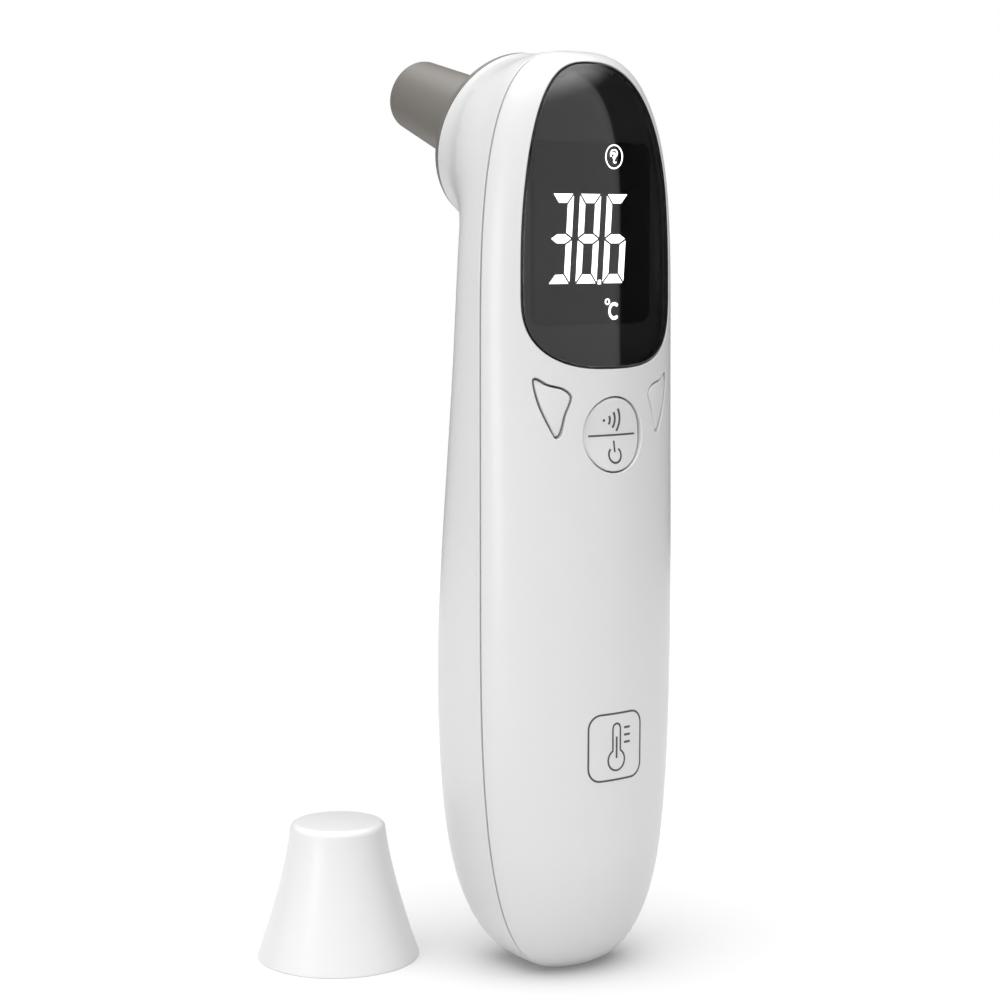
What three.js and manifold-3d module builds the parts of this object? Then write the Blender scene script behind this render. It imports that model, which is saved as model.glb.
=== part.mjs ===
// Digital ear thermometer with a detachable probe cap.
// Millimetres. +Z runs up the handle, -Y is the face with the display, and the probe points to +Y.
// Heights below are counted from the lowest point of the body. The exported group is then lowered,
// so that its origin is the middle of the grip.
import * as THREE from 'three';
import { mergeVertices } from 'three/addons/utils/BufferGeometryUtils.js';
import Module from 'manifold-3d';

const wasm = await Module();
wasm.setup();

// Body
const BODY_HEIGHT = 149;
const GRIP_HEIGHT = 60;
const HALF_WIDTH = 19;
const HANDLE_FRONT_DEPTH = 11.15;
const HEAD_FRONT_DEPTH = 10;
const HANDLE_REAR_DEPTH = 19.7;
const HEAD_REAR_DEPTH = 11.75;
const FRONT_POWER = 1.9; // slightly more pointed than an ellipse
const REAR_POWER = 3.5; // squarer than an ellipse
const WALL = 1.8;
const GAP = 0.3;

// Probe barrel, the round neck of the head that carries the probe
const PROBE_TILT = THREE.MathUtils.degToRad(18);
const FLANGE_Y = 16.5;
const FLANGE_HEIGHT = 135.5;
const BARREL_RADIUS = 14.7;
const BARREL_TAPER = 0.06;
const NOZZLE_LENGTH = 28;
const BLEND = 6;

// Display window
const WINDOW_HALF_WIDTH = 15.3;
const WINDOW_WIDEST = 111;
const WINDOW_TOP = 147.2;
const WINDOW_BOTTOM = 99;
const LENS_THICKNESS = 1.6;

// Buttons
const BUTTON_HEIGHT = 88.6;
const BUTTON_RADIUS = 6.1;
const CAP_FACE_Y = -14; // in front of everything
const DOME_X = 10.6;
const DOME_HEIGHT = 93.8;

// Circuit board
const BOARD_FRONT_Y = -1.6;
const BOARD_BACK_Y = -0.4;

// Batteries, size AAA
const CELL_RADIUS = 5.25;
const CELL_LENGTH = 44.5;
const CELL_X = 5.5;
const CELL_Y = 8.6;
const BAY_BOTTOM = 18;
const BAY_TOP = 68.6;
const CONTACT_THICKNESS = 0.3;
const SPRING_LENGTH = 3.3;

// Battery door
const DOOR_HALF_WIDTH = 12;
const DOOR_BOTTOM = 17.5;
const DOOR_TOP = 75.5;

// Case screws
const SCREW_X = 8;
const SCREW_HEIGHT = 80;
const SCREW_SEAT_Y = 13;

// Probe cap, standing on its mouth beside the body
const CAP_HEIGHT = 22.8;
const CAP_TOP_RADIUS = 7.9;
const CAP_FLARE = 5.64;
const CAP_WALL = 1.2;
const CAP_X = -28;
const CAP_Y = 27.6;

const model = new THREE.Group();
model.position.z = -GRIP_HEIGHT;

// The probe's own frame: its +Z is the probe's axis, with zero at the flange
const probe = new THREE.Group();
probe.position.set(0, FLANGE_Y, FLANGE_HEIGHT);
probe.rotation.x = PROBE_TILT - Math.PI / 2;
model.add(probe);

const FINISH = {
  whitePlastic: { color: 0xf0f0f1, roughness: 0.35, metalness: 0 },
  smokedLens: { color: 0x0c0c0d, roughness: 0.05, metalness: 0 },
  greyPlastic: { color: 0x767068, roughness: 0.45, metalness: 0 },
  blackPlastic: { color: 0x111112, roughness: 0.6, metalness: 0 },
  greenBoard: { color: 0x1d5a35, roughness: 0.5, metalness: 0 },
  steel: { color: 0xb9bbbe, roughness: 0.3, metalness: 1 },
  gold: { color: 0xd6ab4c, roughness: 0.2, metalness: 1 },
  filter: { color: 0x2b2830, roughness: 0.1, metalness: 0 },
  rubber: { color: 0x2a2a2b, roughness: 0.8, metalness: 0 },
  ribbon: { color: 0xb9762c, roughness: 0.4, metalness: 0 },
  cell: { color: 0x2f6fae, roughness: 0.35, metalness: 0.2 },
};

function addPiece(name, shape, finish, parent = model) {
  const geometry = shape.isBufferGeometry ? shape : geometryOf(shape);
  const mesh = new THREE.Mesh(geometry, new THREE.MeshStandardMaterial(FINISH[finish]));
  mesh.name = name;
  parent.add(mesh);
}

// Between three.js geometry and manifold solids

function solidOf(geometry) {
  const bare = geometry.clone();
  bare.deleteAttribute('normal');
  bare.deleteAttribute('uv');
  const merged = mergeVertices(bare, 1e-4);
  const vertProperties = new Float32Array(merged.attributes.position.array);
  const triVerts = new Uint32Array(merged.index.array);
  return new wasm.Manifold(new wasm.Mesh({ numProp: 3, vertProperties, triVerts }));
}

function geometryOf(solid) {
  const { vertProperties, triVerts } = solid.getMesh();
  const geometry = new THREE.BufferGeometry();
  geometry.setAttribute('position', new THREE.BufferAttribute(vertProperties, 3));
  geometry.setIndex(new THREE.BufferAttribute(triVerts, 1));
  return geometry;
}

function block([x0, x1], [y0, y1], [z0, z1]) {
  const box = new THREE.BoxGeometry(x1 - x0, y1 - y0, z1 - z0);
  return solidOf(box.translate((x0 + x1) / 2, (y0 + y1) / 2, (z0 + z1) / 2));
}

function rodAlongY(radius, x, z, [y0, y1], sides = 24) {
  const rod = new THREE.CylinderGeometry(radius, radius, y1 - y0, sides);
  return solidOf(rod.translate(x, (y0 + y1) / 2, z));
}

function rodAlongZ(radius, x, y, [z0, z1], sides = 24) {
  const rod = new THREE.CylinderGeometry(radius, radius, z1 - z0, sides);
  return solidOf(rod.rotateX(Math.PI / 2).translate(x, y, (z0 + z1) / 2));
}

// A profile of [radius, height] pairs turned about +Z
function turned(profile, sides = 32) {
  const points = profile.map(([radius, height]) => new THREE.Vector2(radius, height));
  return new THREE.LatheGeometry(points, sides).rotateX(Math.PI / 2);
}

// An outline of points in X and height, run through from y0 to y1
function prism(outline, [y0, y1]) {
  const options = { depth: y1 - y0, bevelEnabled: false };
  const run = new THREE.ExtrudeGeometry(new THREE.Shape(outline), options);
  return solidOf(run.rotateX(Math.PI / 2).translate(0, y1, 0));
}

// The outline moved outwards by a distance, for an outline that runs anticlockwise
function grown(outline, distance) {
  return outline.map((point, i) => {
    const before = outline[(i + outline.length - 1) % outline.length];
    const after = outline[(i + 1) % outline.length];
    const edge = after.clone().sub(before).normalize();
    return new THREE.Vector2(point.x + edge.y * distance, point.y - edge.x * distance);
  });
}

// The body's outer skin

function smoothStep(value, from, to) {
  return THREE.MathUtils.smoothstep(value, from, to);
}

// 1 along the body, falling to 0 in a rounded curve at each end
function roundedEnds(height, bottomReach, topReach, power) {
  const bottom = Math.max(1 - height / bottomReach, 0) ** power;
  const top = Math.max(1 - (BODY_HEIGHT - height) / topReach, 0) ** power;
  return ((1 - bottom) * (1 - top)) ** (1 / power);
}

function halfWidth(height) {
  return HALF_WIDTH * roundedEnds(height, 65, 49, 3.1);
}

function frontDepth(height) {
  const depth = THREE.MathUtils.lerp(
    HANDLE_FRONT_DEPTH, HEAD_FRONT_DEPTH, smoothStep(height, 60, 110));
  return depth * roundedEnds(height, 22, 24, 2.1);
}

function rearDepth(height) {
  const depth = THREE.MathUtils.lerp(
    HANDLE_REAR_DEPTH, HEAD_REAR_DEPTH, smoothStep(height, 44.5, 124.5));
  return depth * roundedEnds(height, 40, 24, 3.2);
}

// How far a point lies outside the body's superellipse section at its height; negative is inside
function outsideBody(x, y, z) {
  if (z <= 0 || z >= BODY_HEIGHT) return Math.hypot(x, y) + Math.max(-z, z - BODY_HEIGHT);
  const power = y < 0 ? FRONT_POWER : REAR_POWER;
  const depth = y < 0 ? frontDepth(z) : rearDepth(z);
  const across = (Math.abs(x) / halfWidth(z)) ** power;
  const along = (Math.abs(y) / depth) ** power;
  const share = (across + along) ** (1 / power);
  return share < 1e-6 ? -1 : Math.hypot(x, y) * (1 - 1 / share);
}

// The same for the round barrel, which runs 4 mm past the flange before it is cut off there
function outsideBarrel(x, y, z) {
  const dy = y - FLANGE_Y;
  const dz = z - FLANGE_HEIGHT;
  const along = dy * Math.cos(PROBE_TILT) + dz * Math.sin(PROBE_TILT);
  const lift = dz * Math.cos(PROBE_TILT) - dy * Math.sin(PROBE_TILT);
  const radius = BARREL_RADIUS - BARREL_TAPER * along;
  return Math.max(Math.hypot(x, lift) - radius, along - 4);
}

// Body and barrel run into each other in a fillet that fades out at the seam
function outsideSkin(x, y, z) {
  const body = outsideBody(x, y, z);
  if (y <= 0) return body;
  const barrel = outsideBarrel(x, y, z);
  const fillet = Math.min(BLEND, 0.6 * y);
  const near = Math.max(fillet - Math.abs(body - barrel), 0) / fillet;
  return Math.min(body, barrel) - near * near * fillet / 4;
}

// Distance along a ray from the body's axis to the skin
function rayLength(originZ, direction) {
  let inside = 0;
  let outside = 60;
  for (let i = 0; i < 40; i++) {
    const middle = (inside + outside) / 2;
    const point = direction.clone().multiplyScalar(middle);
    if (outsideSkin(point.x, point.y, originZ + point.z) < 0) inside = middle;
    else outside = middle;
  }
  return inside;
}

// Rows of rays, as [height of the origin, elevation in degrees]: the lower end, the handle,
// the neck, where the rays dip to reach under the barrel, and the head
function skinRows() {
  const rows = [];
  for (let i = 1; i <= 8; i++) rows.push([22, -90 + 90 * i / 8]);
  for (let i = 1; i <= 5; i++) rows.push([22 + 74 * i / 5, 0]);
  for (let i = 1; i <= 3; i++) rows.push([96 + 31 * i / 3, -38 * i / 3]);
  for (let i = 1; i < 20; i++) rows.push([127, -38 + 128 * i / 20]);
  return rows;
}

// Directions round the body, closer together where its section turns a corner
function columnDirection(turn) {
  const [power, depth] = Math.cos(turn) > 0
    ? [FRONT_POWER, -HANDLE_FRONT_DEPTH] : [REAR_POWER, HANDLE_REAR_DEPTH];
  const across = Math.sign(Math.sin(turn)) * Math.abs(Math.sin(turn)) ** (2 / power);
  const along = Math.abs(Math.cos(turn)) ** (2 / power);
  return new THREE.Vector2(HALF_WIDTH * across, depth * along).normalize();
}

// The solid inside the skin, drawn in by an inset
function skinSolid(inset) {
  const columns = 32;
  const rows = skinRows();
  const positions = [0, 0, inset];
  for (const [originZ, elevation] of rows) {
    for (let i = 0; i < columns; i++) {
      const flat = columnDirection(2 * Math.PI * i / columns);
      const rise = THREE.MathUtils.degToRad(elevation);
      const direction = new THREE.Vector3(
        flat.x * Math.cos(rise), flat.y * Math.cos(rise), Math.sin(rise));
      const reach = rayLength(originZ, direction) - inset;
      positions.push(direction.x * reach, direction.y * reach, originZ + direction.z * reach);
    }
  }
  positions.push(0, 0, BODY_HEIGHT - inset);
  const top = positions.length / 3 - 1;
  const triangles = [];
  const at = (row, column) => 1 + row * columns + column % columns;
  for (let i = 0; i < columns; i++) {
    triangles.push(0, at(0, i + 1), at(0, i));
    triangles.push(top, at(rows.length - 1, i), at(rows.length - 1, i + 1));
    for (let row = 0; row + 1 < rows.length; row++) {
      triangles.push(at(row, i), at(row, i + 1), at(row + 1, i + 1));
      triangles.push(at(row, i), at(row + 1, i + 1), at(row + 1, i));
    }
  }
  const geometry = new THREE.BufferGeometry();
  geometry.setAttribute('position', new THREE.Float32BufferAttribute(positions, 3));
  geometry.setIndex(triangles);
  return solidOf(geometry);
}

const outerSkin = skinSolid(0);
const innerSkin = skinSolid(WALL);

// Everything past the flange plane
const beyondFlange = solidOf(new THREE.BoxGeometry(60, 60, 30)
  .translate(0, 0, 15)
  .rotateX(PROBE_TILT - Math.PI / 2)
  .translate(0, FLANGE_Y, FLANGE_HEIGHT));
const hollowCase = outerSkin.subtract(innerSkin).subtract(beyondFlange);

// Outlines on the front face, seen from the front

// The display window: egg shaped, with a long rounded top and a fuller, shorter bottom
function windowOutline() {
  const points = [];
  for (let i = 0; i < 36; i++) {
    const turn = 2 * Math.PI * i / 36;
    const [power, reach] = Math.sin(turn) > 0
      ? [2.6, WINDOW_TOP - WINDOW_WIDEST] : [2.8, WINDOW_WIDEST - WINDOW_BOTTOM];
    const across = Math.sign(Math.cos(turn)) * Math.abs(Math.cos(turn)) ** (2 / power);
    const up = Math.sign(Math.sin(turn)) * Math.abs(Math.sin(turn)) ** (2 / power);
    points.push(new THREE.Vector2(WINDOW_HALF_WIDTH * across, WINDOW_WIDEST + reach * up));
  }
  return points;
}

// A circle round the scan button's centre
function buttonOutline(radius) {
  const circle = new THREE.Shape().absarc(0, BUTTON_HEIGHT, radius, 0, 2 * Math.PI);
  return circle.getPoints(24).slice(0, -1);
}

// The right key: a smooth closed curve with three corners. Its top edge is hollowed along the
// window, and its inner edge is hollowed round the button
function keyOutline() {
  const corners = [[13.2, 97.9], [11.5, 96.9], [9.1, 96.2], [7.75, 94.7], [8.8, 91.9],
    [9.5, 89], [10.3, 88.3], [11, 88.9], [13, 93.3], [13.85, 97.2]];
  const points = corners.map(([x, z]) => new THREE.Vector3(x, z, 0));
  const curve = new THREE.CatmullRomCurve3(points, true);
  return curve.getPoints(40).slice(0, -1).map((point) => new THREE.Vector2(point.x, point.y));
}

function mirrored(outline) {
  return outline.map((point) => new THREE.Vector2(-point.x, point.y)).reverse();
}

// The battery door: a rectangle with round corners
function doorOutline() {
  const corner = 4;
  const side = DOOR_HALF_WIDTH;
  const door = new THREE.Shape();
  door.absarc(side - corner, DOOR_TOP - corner, corner, 0, Math.PI / 2);
  door.absarc(corner - side, DOOR_TOP - corner, corner, Math.PI / 2, Math.PI);
  door.absarc(corner - side, DOOR_BOTTOM + corner, corner, Math.PI, 1.5 * Math.PI);
  door.absarc(side - corner, DOOR_BOTTOM + corner, corner, 1.5 * Math.PI, 2 * Math.PI);
  return door.getPoints(6);
}

// Front shell: the face of the case, with holes for the window, the button and the keys, and two
// bosses that take the case screws
function frontShell() {
  let shell = hollowCase.intersect(block([-40, 40], [-40, -GAP / 2], [-5, 160]));
  for (const side of [-1, 1]) {
    const boss = rodAlongY(2.4, side * SCREW_X, SCREW_HEIGHT, [-9, -GAP / 2]);
    shell = shell.add(boss.intersect(outerSkin));
    shell = shell.subtract(rodAlongY(1.4, side * SCREW_X, SCREW_HEIGHT, [-6.5, 1]));
  }
  const holes = [windowOutline(), buttonOutline(BUTTON_RADIUS), keyOutline(), mirrored(keyOutline())];
  for (const hole of holes) shell = shell.subtract(prism(hole, [CAP_FACE_Y, -1.5]));
  return shell;
}

// Rear shell: handle back and barrel, with the door opening and two posts for the case screws
function rearShell() {
  let shell = hollowCase.intersect(block([-40, 40], [GAP / 2, 40], [-5, 160]));
  for (const side of [-1, 1]) {
    const post = rodAlongY(3.4, side * SCREW_X, SCREW_HEIGHT, [GAP / 2, 24]);
    shell = shell.add(post.intersect(outerSkin));
    shell = shell.subtract(rodAlongY(2.4, side * SCREW_X, SCREW_HEIGHT, [SCREW_SEAT_Y, 24]));
    shell = shell.subtract(rodAlongY(1.4, side * SCREW_X, SCREW_HEIGHT, [-1, 24]));
  }
  return shell.subtract(prism(doorOutline(), [10, 26]));
}

// Battery door: a panel of the rear wall with two hooks on its lower edge that it turns about
function batteryDoor() {
  const panel = outerSkin.subtract(innerSkin).intersect(prism(grown(doorOutline(), -GAP), [10, 26]));
  let door = panel;
  for (const side of [-1, 1]) {
    const across = [side * 5 - 1.5, side * 5 + 1.5];
    door = door.add(block(across, [14.2, 17.6], [18.2, 20.4]));
    door = door.add(block(across, [14.2, 15.1], [15.6, 20.4]));
  }
  return door;
}

addPiece('front_shell', frontShell(), 'whitePlastic');
addPiece('rear_shell', rearShell(), 'whitePlastic');
addPiece('battery_door', batteryDoor(), 'whitePlastic');

// Case screws, seated in the rear posts and run into the front bosses
for (const [name, side] of [['case_screw_left', -1], ['case_screw_right', 1]]) {
  const head = rodAlongY(2.1, side * SCREW_X, SCREW_HEIGHT, [SCREW_SEAT_Y + GAP, SCREW_SEAT_Y + 1.8]);
  const shank = rodAlongY(1.1, side * SCREW_X, SCREW_HEIGHT, [-6, SCREW_SEAT_Y + 1], 16);
  addPiece(name, head.add(shank), 'steel');
}

// Display: lens, light mask and light-emitting module, one behind the other
const lensBand = outerSkin.subtract(skinSolid(LENS_THICKNESS));
const lens = lensBand.intersect(prism(grown(windowOutline(), -GAP), [CAP_FACE_Y, -1.8]));
addPiece('display_lens', lens, 'smokedLens');
const maskPlate = prism(grown(windowOutline(), -0.8), [-3.8, -2.8]);
const maskLimit = block([-20, 20], [-6, 0], [90, 139]);
const maskHole = block([-11.9, 11.9], [-6, 0], [105.9, 134.5]);
addPiece('light_mask', maskPlate.intersect(maskLimit).subtract(maskHole), 'blackPlastic');
addPiece('display_module', block([-11.6, 11.6], [-4.2, -1.9], [106.2, 134.2]), 'blackPlastic');

// Main circuit board: straight sides, a round top inside the head, and holes for the bosses
function boardOutline() {
  const board = new THREE.Shape();
  board.moveTo(13.5, 64);
  board.lineTo(13.5, 122);
  board.absellipse(0, 122, 13.5, 19, 0, Math.PI);
  board.lineTo(-13.5, 64);
  return board.getPoints(9);
}
let board = prism(boardOutline(), [BOARD_FRONT_Y, BOARD_BACK_Y]);
for (const side of [-1, 1]) {
  board = board.subtract(rodAlongY(2.8, side * SCREW_X, SCREW_HEIGHT, [-5, 5]));
}
addPiece('circuit_board', board, 'greenBoard');
addPiece('main_chip', block([-4, 4], [-0.1, 0.9], [107, 115]), 'blackPlastic');
addPiece('buzzer', rodAlongY(4.5, 0, 97, [-0.1, 2.2]), 'blackPlastic');

// Contact domes under the button and the keys
const domes = [['scan_dome', 0, BUTTON_HEIGHT], ['left_dome', -DOME_X, DOME_HEIGHT],
  ['right_dome', DOME_X, DOME_HEIGHT]];
for (const [name, x, z] of domes) {
  const profile = [[0, -1.9], [2.5, -1.9], [2.5, -2.1], [1.6, -2.45], [0, -2.6]];
  const dome = turned(profile.map(([radius, y]) => [radius, -y]), 20);
  addPiece(name, solidOf(dome.rotateX(Math.PI / 2).translate(x, 0, z)), 'steel');
}

// Scan button: a cap flush with the skin, a rim that stops it behind the wall, and a plunger
let scanButton = outerSkin.intersect(prism(buttonOutline(BUTTON_RADIUS - GAP), [CAP_FACE_Y, -6.3]));
scanButton = scanButton.add(prism(buttonOutline(6.9), [-6.9, -6.1]));
scanButton = scanButton.add(rodAlongY(1.6, 0, BUTTON_HEIGHT, [-6.5, -3.5], 16));
addPiece('scan_button', scanButton, 'whitePlastic');

// Side keys: the same, with a rim of the key's own outline
for (const [name, outline] of [['left_key', mirrored(keyOutline())], ['right_key', keyOutline()]]) {
  const cap = outerSkin.intersect(prism(grown(outline, -GAP), [CAP_FACE_Y, -3.6]));
  addPiece(name, cap.add(prism(grown(outline, 0.5), [-4.2, -3.5])), 'whitePlastic');
}

// Battery tray: a box with a cradle for each cell and a wall at each end
let tray = block([-12.7, 12.7], [1.8, 10.5], [BAY_BOTTOM - 1.4, BAY_TOP + 1.4]);
for (const side of [-1, 1]) {
  tray = tray.subtract(rodAlongZ(CELL_RADIUS + GAP, side * CELL_X, CELL_Y, [BAY_BOTTOM, BAY_TOP]));
}
tray = tray.subtract(block([-11.05, 11.05], [CELL_Y, 12], [BAY_BOTTOM, BAY_TOP]));
tray = tray.subtract(block([-2, 2], [4.7, 12], [BAY_BOTTOM, BAY_BOTTOM + 0.9]));
addPiece('battery_tray', tray, 'blackPlastic');

// Sheet contacts on the bay's end walls: one joins both cells below, and two carry current above
const bridgeZ = BAY_BOTTOM + GAP;
const contactZ = BAY_TOP - GAP - CONTACT_THICKNESS;
addPiece('bridge_contact',
  block([-9, 9], [5, 12], [bridgeZ, bridgeZ + CONTACT_THICKNESS]), 'steel');
addPiece('positive_contact',
  block([-9, -2], [5, 12], [contactZ, contactZ + CONTACT_THICKNESS]), 'steel');
addPiece('negative_contact',
  block([2, 9], [5, 12], [contactZ, contactZ + CONTACT_THICKNESS]), 'steel');

// A spring at the flat end of each cell, wound in a narrowing helix from its contact
class SpringCurve extends THREE.Curve {
  getPoint(share, target = new THREE.Vector3()) {
    const turn = 2 * Math.PI * 3.5 * share;
    const radius = 3.6 - 1.2 * share;
    return target.set(radius * Math.cos(turn), radius * Math.sin(turn), SPRING_LENGTH * share);
  }
}

function springGeometry() {
  const wire = new THREE.Shape().absarc(0, 0, 0.35, 0, 2 * Math.PI);
  const wireOutline = new THREE.Shape(wire.getPoints(5).slice(0, -1));
  const options = { steps: 32, bevelEnabled: false, extrudePath: new SpringCurve() };
  return new THREE.ExtrudeGeometry(wireOutline, options);
}

// A cell stands on its flat end, with its positive button above
function cellGeometry() {
  const profile = [[0, 0], [CELL_RADIUS - 0.4, 0], [CELL_RADIUS, 0.4],
    [CELL_RADIUS, CELL_LENGTH - 1.4], [CELL_RADIUS - 0.4, CELL_LENGTH - 1], [2.6, CELL_LENGTH - 1],
    [2.6, CELL_LENGTH], [0, CELL_LENGTH]];
  return turned(profile, 28);
}

const SPRING_CLEARANCE = 0.7; // half the wire, and a gap
const springBase = bridgeZ + CONTACT_THICKNESS + SPRING_CLEARANCE;
const springTop = contactZ - SPRING_CLEARANCE;
addPiece('battery_spring_left',
  springGeometry().translate(-CELL_X, CELL_Y, springBase), 'steel');
addPiece('battery_spring_right',
  springGeometry().rotateX(Math.PI).translate(CELL_X, CELL_Y, springTop), 'steel');
const cellTop = contactZ - GAP;
addPiece('battery_left',
  cellGeometry().translate(-CELL_X, CELL_Y, cellTop - CELL_LENGTH), 'cell');
const cellBottom = bridgeZ + CONTACT_THICKNESS + GAP;
addPiece('battery_right',
  cellGeometry().rotateX(Math.PI).translate(CELL_X, CELL_Y, cellBottom + CELL_LENGTH), 'cell');

// Probe, as [radius, distance past the flange]. The nozzle is one moulding: a spigot that plugs
// the barrel, a flange, a flare and a slightly tapered tube
function nozzleProfile() {
  const profile = [[10.4, -3.6], [11.6, -3.6], [11.6, GAP], [14.5, GAP], [14.5, 1.1], [14.2, 1.4]];
  for (let i = 0; i <= 5; i++) {
    const turn = Math.PI / 2 * i / 5; // the flare, a quarter ellipse
    profile.push([13.6 - 6.1 * Math.sin(turn), 8 - 6.5 * Math.cos(turn)]);
  }
  for (let i = 0; i <= 3; i++) {
    const turn = Math.PI / 2 * i / 3; // the rounded edge of the tip
    profile.push([5.2 + 0.9 * Math.cos(turn), NOZZLE_LENGTH - 0.9 + 0.9 * Math.sin(turn)]);
  }
  profile.push([3.7, NOZZLE_LENGTH], [3.7, 26], [3, 26], [3, 25.2], [4.6, 25.2], [5.4, 8], [10.4, 2]);
  profile.push([10.4, -3.6]);
  return profile;
}
addPiece('probe_nozzle', turned(nozzleProfile(), 32), 'greyPlastic', probe);

// Sealing ring round the spigot
function sealProfile() {
  const profile = [];
  for (let i = 0; i <= 6; i++) {
    const turn = 2 * Math.PI * i / 6;
    profile.push([12.2 + 0.4 * Math.cos(turn), -2 + 0.4 * Math.sin(turn)]);
  }
  return profile;
}
addPiece('probe_seal', turned(sealProfile(), 28), 'rubber', probe);

addPiece('probe_window', turned([[0, 26.3], [3.4, 26.3], [3.4, 26.9], [0, 26.9]], 28), 'filter', probe);
addPiece('waveguide',
  turned([[2.2, 13.2], [2.7, 13.2], [2.7, 24.9], [2.2, 24.9], [2.2, 13.2]], 24), 'gold', probe);
addPiece('thermopile',
  turned([[0, 7.3], [3.3, 7.3], [3.3, 7.9], [2.9, 7.9], [2.9, 12.8], [0, 12.8]], 24), 'steel', probe);
addPiece('sensor_sleeve',
  turned([[3.7, 7.3], [4.3, 7.3], [4.3, 20], [3.7, 20], [3.7, 7.3]], 24), 'steel', probe);
addPiece('sensor_board', turned([[0, 6], [4.8, 6], [4.8, 7], [0, 7]], 24), 'greenBoard', probe);

// Flat ribbon from the sensor board to the main board: a side profile run across 4 mm
function ribbon() {
  const boardEnd = new THREE.Vector2(0, 127);
  const curve = new THREE.CubicBezierCurve(
    boardEnd, new THREE.Vector2(5, 127), new THREE.Vector2(9, 133), new THREE.Vector2(21.5, 137));
  const line = curve.getPoints(12);
  const back = line.map((point) => new THREE.Vector2(point.x, point.y + 0.3)).reverse();
  const run = new THREE.ExtrudeGeometry(
    new THREE.Shape([...line, ...back]), { depth: 4, bevelEnabled: false });
  return run.rotateZ(Math.PI / 2).rotateY(Math.PI / 2).translate(-2, 0, 0);
}
addPiece('sensor_ribbon', ribbon(), 'ribbon');

// Probe cap: a hollow flared cone, closed at the top, standing on its mouth
function capRadius(height) {
  return CAP_TOP_RADIUS + CAP_FLARE * (1 - height / CAP_HEIGHT) ** 1.4;
}

function capProfile() {
  const innerTop = CAP_HEIGHT - CAP_WALL;
  const edge = 1.2;
  const profile = [[0, innerTop]];
  for (let i = 5; i >= 0; i--) {
    const height = innerTop * i / 5;
    profile.push([capRadius(height) - CAP_WALL, height]);
  }
  for (let i = 0; i <= 6; i++) {
    const height = (CAP_HEIGHT - edge) * i / 6;
    profile.push([capRadius(height), height]);
  }
  const shoulder = capRadius(CAP_HEIGHT - edge) - edge;
  for (let i = 1; i <= 3; i++) {
    const turn = Math.PI / 2 * i / 3;
    profile.push([shoulder + edge * Math.cos(turn), CAP_HEIGHT - edge + edge * Math.sin(turn)]);
  }
  profile.push([0, CAP_HEIGHT]);
  return profile;
}
addPiece('probe_cap', turned(capProfile(), 28).translate(CAP_X, CAP_Y, 0), 'whitePlastic');

export default model;
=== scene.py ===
import math

import bpy
import numpy as np
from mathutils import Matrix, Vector, kdtree
from mathutils.geometry import delaunay_2d_cdt


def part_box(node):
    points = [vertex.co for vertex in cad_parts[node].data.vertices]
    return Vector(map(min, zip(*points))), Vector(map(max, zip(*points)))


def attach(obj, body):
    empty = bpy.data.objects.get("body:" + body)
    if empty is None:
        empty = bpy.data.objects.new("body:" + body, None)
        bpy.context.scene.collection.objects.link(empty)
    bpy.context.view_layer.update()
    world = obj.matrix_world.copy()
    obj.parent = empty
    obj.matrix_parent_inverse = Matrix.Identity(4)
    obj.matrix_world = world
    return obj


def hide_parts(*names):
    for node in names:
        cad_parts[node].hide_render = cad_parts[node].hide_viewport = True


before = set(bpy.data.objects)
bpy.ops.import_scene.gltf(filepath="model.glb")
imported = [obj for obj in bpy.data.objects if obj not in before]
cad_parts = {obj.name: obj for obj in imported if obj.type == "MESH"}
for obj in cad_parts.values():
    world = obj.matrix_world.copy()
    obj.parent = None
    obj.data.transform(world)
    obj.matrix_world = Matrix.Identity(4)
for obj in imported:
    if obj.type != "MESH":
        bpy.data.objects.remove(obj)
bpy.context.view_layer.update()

# ---------------------------------------------------------------------------------------------
# Case, front half
# The front shell is one injection moulding in white ABS with a satin gloss. It carries the
# window and the buttons, and two screws hold it to the rear shell along a fine open seam.
# Sizes in every section are millimetres, with heights counted from the foot of the case.
# ---------------------------------------------------------------------------------------------

CASE_HEIGHT = 149
HALF_WIDTH = 19
WIDTH_ENDS = (65, 49, 3.1)  # how far the narrowing reaches from the foot and the top, and its power
# Depth of each side at the handle and at the head, the heights between which one eases into the
# other, its rounded ends, and the power of its section: 2 is an ellipse, and more is squarer
FRONT_SHAPE = {"handle": 11.15, "head": 10.0, "change": (60, 110), "ends": (22, 24, 2.1), "power": 1.9}
REAR_SHAPE = {"handle": 19.7, "head": 11.75, "change": (44.5, 124.5), "ends": (40, 24, 3.2),
              "power": 3.5}
BARREL_RADIUS, BARREL_TAPER, BARREL_PAST_FLANGE = 14.7, 0.06, 4
FILLET, FILLET_GROWTH = 6, 0.6
WALL = 1.8
GAP = 0.3
FRONT, REAR = -1, 1
WHITE = (0.61, 0.61, 0.613)

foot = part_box("probe_cap")[0].z  # the loose cap stands level with the foot of the case
flange_tilt = math.radians(18)
flange_centre = np.array([0, 16.5, 135.5])
flange_axis = np.array([0, math.cos(flange_tilt), math.sin(flange_tilt)])


def placed(points):
    """Millimetres above the foot, as metres in the frame"""
    return np.asarray(points, float) * 0.001 + (0, 0, foot)


def rounded_ends(height, low_reach, high_reach, power):
    """1 along the case, falling to 0 in a rounded curve at each end"""
    low = np.maximum(1 - height / low_reach, 0) ** power
    high = np.maximum(1 - (CASE_HEIGHT - height) / high_reach, 0) ** power
    return ((1 - low) * (1 - high)) ** (1 / power)


def eased(value, start, end):
    """0 before the start and 1 past the end, with a soft slope between them"""
    share = np.clip((value - start) / (end - start), 0, 1)
    return share * share * (3 - 2 * share)


def depth_at(height, shape):
    """How deep one side of the case is at a height"""
    depth = shape["handle"] + (shape["head"] - shape["handle"]) * eased(height, *shape["change"])
    return depth * rounded_ends(height, *shape["ends"])


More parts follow.
